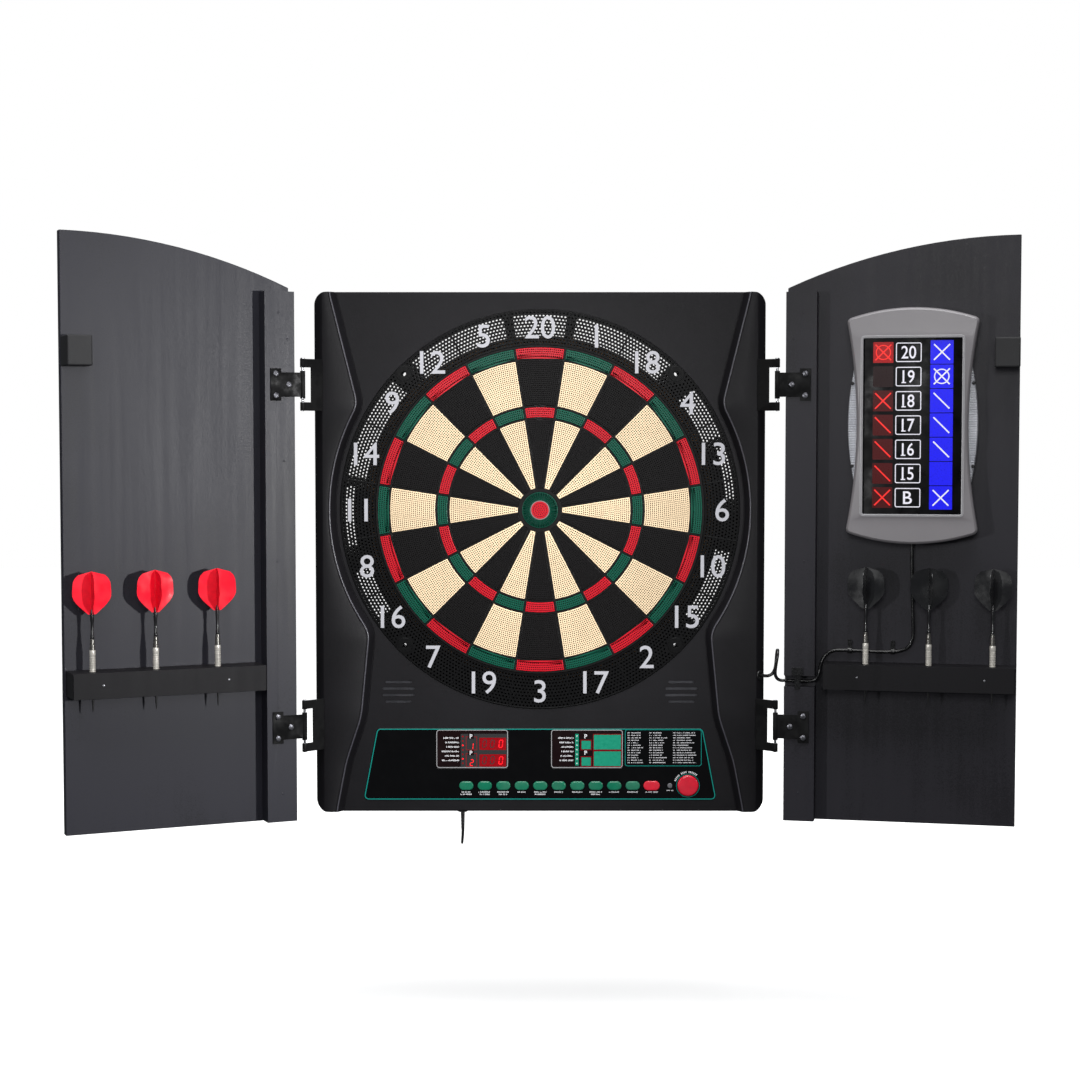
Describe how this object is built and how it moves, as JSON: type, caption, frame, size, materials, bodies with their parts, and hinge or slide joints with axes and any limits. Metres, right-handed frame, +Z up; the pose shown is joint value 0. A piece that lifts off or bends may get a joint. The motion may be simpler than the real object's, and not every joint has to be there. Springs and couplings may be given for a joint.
{
  "type": "dart board cabinet",
  "caption": "Wall-hung electronic dart board cabinet with two hinged doors, dart racks with darts, a control panel and a scorer display.",
  "frame": {"origin": "on the wall, at the centre of the four wall screws, behind the middle of the target", "axes": "+Z up, -Y out of the wall towards the player, +X to the player's right"},
  "size_m": [1.1241, 0.1976, 0.7388],
  "materials": {
    "housing_black": "fine textured black",
    "cover_black": "plain black",
    "ring_black": "black lattice with white numbers",
    "spider_black": "smooth black",
    "segment_red": "red with rows of small holes",
    "segment_green": "green with rows of small holes",
    "segment_cream": "cream with rows of small holes",
    "segment_black": "black with rows of small holes",
    "membrane_rubber": "matt grey",
    "hardboard": "pressed board",
    "overlay_gloss": "gloss black film",
    "display_dark": "dark window",
    "board_green": "solder mask",
    "speaker_steel": "stamped steel",
    "gland_black": "soft black",
    "screw_steel": "zinc plated",
    "pin_steel": "bright steel",
    "hinge_black": "black paint",
    "cord_black": "glossy black PVC",
    "adapter_black": "moulded black",
    "button_green": "green rubber dome",
    "button_red": "red rubber dome",
    "button_grey": "grey",
    "door_grey_left": "painted board, blue-grey sheen",
    "door_grey_right": "painted board, dark grey",
    "rack_black": "painted wood",
    "scorer_silver": "silver-grey",
    "scorer_clear": "ribbed clear plastic",
    "dart_red": "red flight, nickel barrel, black stem and tip",
    "dart_black": "black flight, nickel barrel, black stem and tip"
  },
  "bodies": {
    "housing": {"front_bezel": "housing_black", "back_cover": "cover_black", "catch_ring": "ring_black", "target_spider": "spider_black", "segments_red": "segment_red", "segments_green": "segment_green", "segments_cream": "segment_cream", "segments_black": "segment_black", "sensor_membrane": "membrane_rubber", "backing_plate": "hardboard", "control_overlay": "overlay_gloss", "led_displays": "display_dark", "circuit_board": "board_green", "speakers": "speaker_steel", "cord_glands": "gland_black", "housing_screws": "screw_steel", "hinge_brackets": "hinge_black", "hinge_pins": "pin_steel", "power_cord": "cord_black", "power_cord_coil": "cord_black", "wall_adapter": "adapter_black", "scorer_cable_loop": "cord_black"},
    "bullseye": {"bullseye": "segment_red"},
    "game_button_1": {"game_button_1": "button_green"},
    "game_button_2": {"game_button_2": "button_green"},
    "game_button_3": {"game_button_3": "button_green"},
    "game_button_4": {"game_button_4": "button_green"},
    "game_button_5": {"game_button_5": "button_green"},
    "game_button_6": {"game_button_6": "button_green"},
    "game_button_7": {"game_button_7": "button_green"},
    "game_button_8": {"game_button_8": "button_green"},
    "game_button_9": {"game_button_9": "button_green"},
    "game_button_10": {"game_button_10": "button_green"},
    "power_button": {"power_button": "button_red"},
    "reset_button": {"reset_button": "button_grey"},
    "start_button": {"start_button": "button_red"},
    "left_door": {"left_door_panel": "door_grey_left", "left_batten": "door_grey_left", "left_dart_rack": "rack_black", "left_catch_block": "rack_black", "left_hinge_leaves": "hinge_black", "left_leaf_screws": "screw_steel"},
    "right_door": {"right_door_panel": "door_grey_right", "right_batten": "door_grey_right", "right_dart_rack": "rack_black", "right_catch_block": "rack_black", "right_hinge_leaves": "hinge_black", "right_leaf_screws": "screw_steel", "scorer_frame": "scorer_silver", "scorer_lens": "scorer_clear", "scorer_screen": "display_dark", "scorer_board": "board_green", "scorer_cable": "cord_black", "cable_clips": "gland_black"},
    "left_dart_1": {"left_dart_1": "dart_red"},
    "left_dart_2": {"left_dart_2": "dart_red"},
    "left_dart_3": {"left_dart_3": "dart_red"},
    "right_dart_1": {"right_dart_1": "dart_black"},
    "right_dart_2": {"right_dart_2": "dart_black"},
    "right_dart_3": {"right_dart_3": "dart_black"}
  },
  "joints": [
    {"name": "left_door_hinge", "type": "hinge", "parent": "housing", "child": "left_door", "pos_m": [-0.284, -0.066, 0], "axis": [0, 0, 1], "range_deg": [-24.4, 155.6]},
    {"name": "right_door_hinge", "type": "hinge", "parent": "housing", "child": "right_door", "pos_m": [0.284, -0.066, 0], "axis": [0, 0, -1], "range_deg": [-12.4, 167.6], "deforming": ["scorer_cable_loop"]},
    {"name": "bullseye_press", "type": "slide", "parent": "housing", "child": "bullseye", "axis": [0, 1, 0], "range_m": [0, 0.001], "stiffness_N_per_m": 1500},
    {"name": "game_button_1_press", "type": "slide", "parent": "housing", "child": "game_button_1", "axis": [0, 1, 0], "range_m": [0, 0.001], "stiffness_N_per_m": 900},
    {"name": "game_button_2_press", "type": "slide", "parent": "housing", "child": "game_button_2", "axis": [0, 1, 0], "range_m": [0, 0.001], "stiffness_N_per_m": 900},
    {"name": "game_button_3_press", "type": "slide", "parent": "housing", "child": "game_button_3", "axis": [0, 1, 0], "range_m": [0, 0.001], "stiffness_N_per_m": 900},
    {"name": "game_button_4_press", "type": "slide", "parent": "housing", "child": "game_button_4", "axis": [0, 1, 0], "range_m": [0, 0.001], "stiffness_N_per_m": 900},
    {"name": "game_button_5_press", "type": "slide", "parent": "housing", "child": "game_button_5", "axis": [0, 1, 0], "range_m": [0, 0.001], "stiffness_N_per_m": 900},
    {"name": "game_button_6_press", "type": "slide", "parent": "housing", "child": "game_button_6", "axis": [0, 1, 0], "range_m": [0, 0.001], "stiffness_N_per_m": 900},
    {"name": "game_button_7_press", "type": "slide", "parent": "housing", "child": "game_button_7", "axis": [0, 1, 0], "range_m": [0, 0.001], "stiffness_N_per_m": 900},
    {"name": "game_button_8_press", "type": "slide", "parent": "housing", "child": "game_button_8", "axis": [0, 1, 0], "range_m": [0, 0.001], "stiffness_N_per_m": 900},
    {"name": "game_button_9_press", "type": "slide", "parent": "housing", "child": "game_button_9", "axis": [0, 1, 0], "range_m": [0, 0.001], "stiffness_N_per_m": 900},
    {"name": "game_button_10_press", "type": "slide", "parent": "housing", "child": "game_button_10", "axis": [0, 1, 0], "range_m": [0, 0.001], "stiffness_N_per_m": 900},
    {"name": "power_button_press", "type": "slide", "parent": "housing", "child": "power_button", "axis": [0, 1, 0], "range_m": [0, 0.001], "stiffness_N_per_m": 900},
    {"name": "reset_button_press", "type": "slide", "parent": "housing", "child": "reset_button", "axis": [0, 1, 0], "range_m": [0, 0.001], "stiffness_N_per_m": 900},
    {"name": "start_button_press", "type": "slide", "parent": "housing", "child": "start_button", "axis": [0, 1, 0], "range_m": [0, 0.001], "stiffness_N_per_m": 900},
    {"name": "left_dart_1_lift", "type": "slide", "parent": "left_door", "child": "left_dart_1", "axis": [0, 0, 1], "range_m": [0, 0.048]},
    {"name": "left_dart_2_lift", "type": "slide", "parent": "left_door", "child": "left_dart_2", "axis": [0, 0, 1], "range_m": [0, 0.048]},
    {"name": "left_dart_3_lift", "type": "slide", "parent": "left_door", "child": "left_dart_3", "axis": [0, 0, 1], "range_m": [0, 0.048]},
    {"name": "right_dart_1_lift", "type": "slide", "parent": "right_door", "child": "right_dart_1", "axis": [0, 0, 1], "range_m": [0, 0.027]},
    {"name": "right_dart_2_lift", "type": "slide", "parent": "right_door", "child": "right_dart_2", "axis": [0, 0, 1], "range_m": [0, 0.027]},
    {"name": "right_dart_3_lift", "type": "slide", "parent": "right_door", "child": "right_dart_3", "axis": [0, 0, 1], "range_m": [0, 0.048]}
  ]
}
